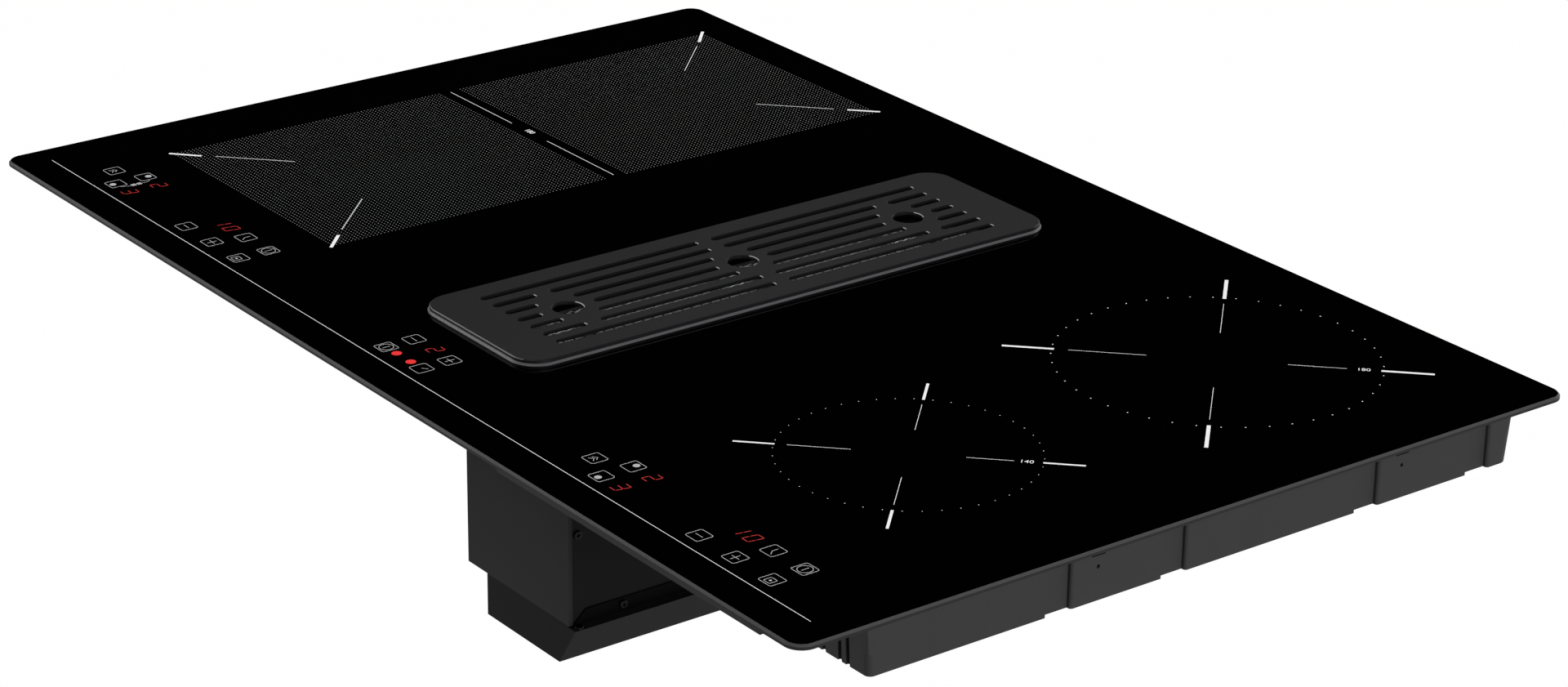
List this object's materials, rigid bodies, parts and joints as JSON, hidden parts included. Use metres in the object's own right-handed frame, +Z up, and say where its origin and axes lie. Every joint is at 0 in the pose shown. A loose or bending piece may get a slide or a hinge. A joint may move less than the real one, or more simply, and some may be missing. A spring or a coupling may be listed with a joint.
{
  "type": "induction cooktop with downdraft extractor",
  "caption": "Flush black glass induction cooktop with a slotted lift-off vent grille, grease filter, downdraft extractor box and ribbed base trays.",
  "frame": {"origin": "centre of the worktop cut-out on the worktop's top surface, below the glass", "axes": "+X to the user's right along the front edge, +Y to the rear, +Z up out of the worktop"},
  "size_m": [0.798, 0.515, 0.1921],
  "materials": {
    "black_glass": "gloss black glass-ceramic with a ground edge",
    "foam_seal": "closed-cell foam strip",
    "grille_coating": "fine matte charcoal powder coat",
    "filter_steel": "woven and folded stainless steel",
    "housing_paint": "satin charcoal paint on sheet steel",
    "black_moulding": "black moulded plastic",
    "tray_moulding": "charcoal moulded plastic with a fine grain",
    "screw_steel": "blackened steel",
    "motor_steel": "zinc-plated steel",
    "copper_winding": "enamelled copper strand",
    "bare_aluminium": "mill finish",
    "ferrite": "sintered ferrite",
    "mica_sheet": "pressed mica",
    "sensor_rubber": "silicone sleeve",
    "circuit_board": "solder-masked laminate",
    "component_plastic": "moulded components",
    "red_display": "red lit segments"
  },
  "bodies": {
    "hob": {"glass_top": "black_glass", "perimeter_seal": "foam_seal", "sump_gasket": "foam_seal", "extractor_housing": "housing_paint", "extractor_front_cover": "housing_paint", "sump_trough": "housing_paint", "intake_collar": "black_moulding", "blower_scroll": "black_moulding", "blower_inlet_rings": "black_moulding", "outlet_collar": "black_moulding", "driver_box": "black_moulding", "left_touch_holder": "black_moulding", "centre_touch_holder": "black_moulding", "right_touch_holder": "black_moulding", "cable_gland": "black_moulding", "left_fan_frame": "black_moulding", "right_fan_frame": "black_moulding", "left_base_tray": "tray_moulding", "right_base_tray": "tray_moulding", "cover_screws": "screw_steel", "flange_screws": "screw_steel", "sump_screws": "screw_steel", "coil_plate_screws": "screw_steel", "blower_motor": "motor_steel", "motor_mount": "motor_steel", "left_front_coil": "copper_winding", "left_rear_coil": "copper_winding", "right_front_coil": "copper_winding", "right_rear_coil": "copper_winding", "left_coil_plate": "bare_aluminium", "right_coil_plate": "bare_aluminium", "left_heat_sink": "bare_aluminium", "right_heat_sink": "bare_aluminium", "left_ferrites": "ferrite", "right_ferrites": "ferrite", "left_insulation": "mica_sheet", "right_insulation": "mica_sheet", "left_sensors": "sensor_rubber", "right_sensors": "sensor_rubber", "left_power_board": "circuit_board", "right_power_board": "circuit_board", "driver_board": "circuit_board", "left_touch_board": "circuit_board", "centre_touch_board": "circuit_board", "right_touch_board": "circuit_board", "left_board_parts": "component_plastic", "right_board_parts": "component_plastic", "terminal_block": "component_plastic", "left_displays": "red_display", "centre_displays": "red_display", "right_displays": "red_display"},
    "grille": {"vent_grille": "grille_coating", "grille_rim": "grille_coating"},
    "filter": {"filter_frame": "filter_steel", "filter_mesh": "filter_steel"},
    "blower_wheel": {"blower_impeller": "black_moulding"},
    "left_fan": {"left_fan_rotor": "black_moulding"},
    "right_fan": {"right_fan_rotor": "black_moulding"}
  },
  "joints": [
    {"name": "grille_lift", "type": "slide", "parent": "hob", "child": "grille", "axis": [0, 0, 1], "range_m": [0, 0.16]},
    {"name": "filter_lift", "type": "slide", "parent": "hob", "child": "filter", "axis": [0, 0, 1], "range_m": [0, 0.08]},
    {"name": "blower_spin", "type": "hinge", "parent": "hob", "child": "blower_wheel", "pos_m": [0, 0.07, -0.095], "axis": [1, 0, 0], "continuous": true},
    {"name": "left_fan_spin", "type": "hinge", "parent": "hob", "child": "left_fan", "pos_m": [-0.3155, 0.06, -0.028], "axis": [0, 0, 1], "continuous": true},
    {"name": "right_fan_spin", "type": "hinge", "parent": "hob", "child": "right_fan", "pos_m": [0.3155, 0.06, -0.028], "axis": [0, 0, 1], "continuous": true}
  ],
  "couplings": [
    {"joint": "filter_lift", "follows": "grille_lift", "ratio": 0.5}
  ]
}
